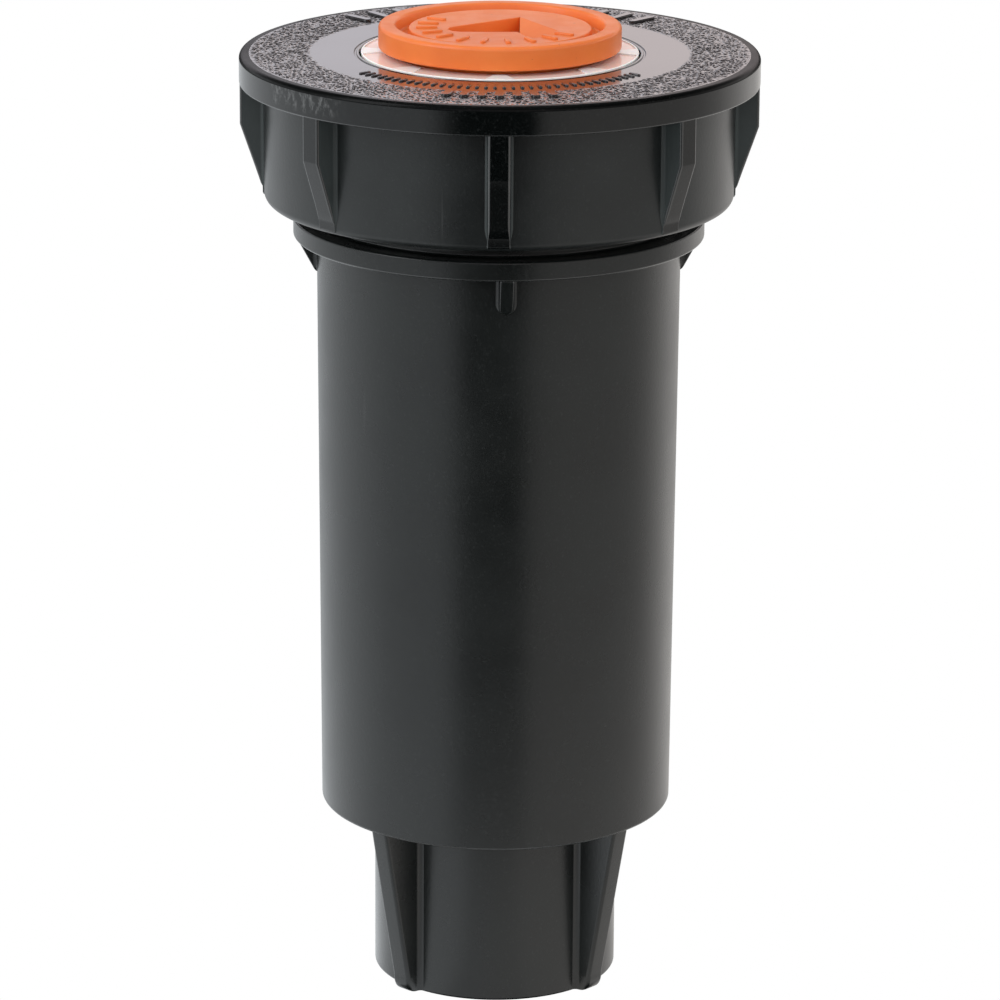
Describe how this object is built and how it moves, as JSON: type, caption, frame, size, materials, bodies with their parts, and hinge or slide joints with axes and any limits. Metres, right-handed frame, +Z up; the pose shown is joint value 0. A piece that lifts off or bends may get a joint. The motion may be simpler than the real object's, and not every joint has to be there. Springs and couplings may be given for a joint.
{
  "type": "pop up sprinkler",
  "caption": "Buried spray head: water lifts a sprung hollow riser through a screw-on cap; a flush plug closes the riser until a nozzle is fitted.",
  "frame": {"origin": "centre of the inlet's end face, on the riser's axis", "axes": "+Z up the riser's axis, the way it pops up; -Y is the side seen from the front; +X is to the right of it"},
  "size_m": [0.0575, 0.0574, 0.1098],
  "materials": {
    "black_plastic": "satin, moulded",
    "pale_plastic": "glossy, moulded",
    "seal_rubber": "soft matt",
    "grey_plastic": "satin, moulded",
    "spring_steel": "drawn wire",
    "orange_plastic": "satin, moulded"
  },
  "bodies": {
    "case": {"case": "black_plastic"},
    "spring_pack": {"spring_washer": "grey_plastic", "retract_spring": "spring_steel"},
    "cap": {"cap": "black_plastic", "seal_ring": "pale_plastic", "wiper_seal": "seal_rubber", "cap_gasket": "seal_rubber"},
    "ratchet": {"ratchet_ring": "grey_plastic"},
    "riser": {"riser": "black_plastic", "base_seal": "seal_rubber"},
    "plug": {"flush_plug": "orange_plastic", "plug_o_ring": "seal_rubber"}
  },
  "joints": [
    {"name": "riser_slide", "type": "slide", "parent": "spring_pack", "child": "ratchet", "axis": [0, 0, 1], "range_m": [0, 0.0508], "stiffness_N_per_m": 300, "deforming": ["retract_spring"]},
    {"name": "riser_turn", "type": "hinge", "parent": "ratchet", "child": "riser", "pos_m": [0, 0, 0.06], "axis": [0, 0, 1], "continuous": true},
    {"name": "plug_lift", "type": "slide", "parent": "riser", "child": "plug", "axis": [0, 0, 1], "range_m": [0, 0.014]},
    {"name": "cap_lift", "type": "slide", "parent": "case", "child": "spring_pack", "axis": [0, 0, 1], "range_m": [0, 0.0065]},
    {"name": "cap_turn", "type": "hinge", "parent": "spring_pack", "child": "cap", "pos_m": [0, 0, 0.1], "axis": [0, 0, 1], "range_deg": [0, 720]}
  ],
  "couplings": [
    {"joint": "cap_lift", "follows": "cap_turn", "m_per_rad": 0.0005093}
  ]
}
